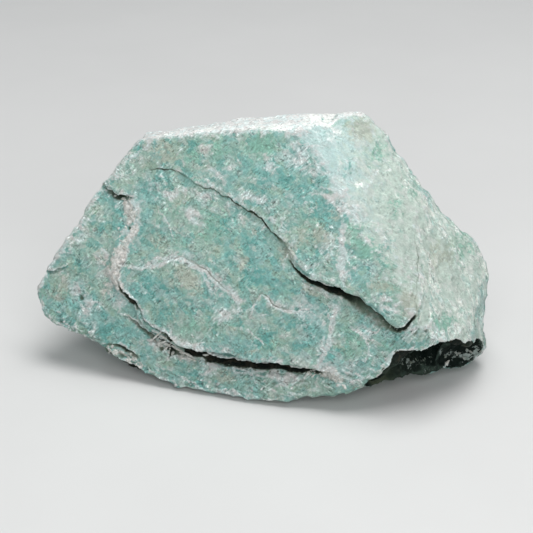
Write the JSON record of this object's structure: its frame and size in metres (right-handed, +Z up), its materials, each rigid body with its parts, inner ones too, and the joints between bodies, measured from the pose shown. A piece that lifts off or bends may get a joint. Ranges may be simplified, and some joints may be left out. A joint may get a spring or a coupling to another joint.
{
  "type": "rough amazonite",
  "caption": "Rough chunk of blue-green amazonite feldspar with stepped cleavage faces, open cracks and an undercut end, resting on a small flat spot.",
  "frame": {"origin": "bottom centre of the chunk's box, on the ground plane that it rests on", "axes": "+X along the chunk's longest side, to the right of a viewer of the big cleavage face; that face looks towards -Y; +Z up"},
  "size_m": [0.1, 0.0584, 0.0558],
  "materials": {
    "amazonite": "broken cleavage faces, dull to silky, with white streaks, pale veins and beige stains"
  },
  "bodies": {
    "root": {"amazonite_chunk": "amazonite"}
  },
  "joints": []
}
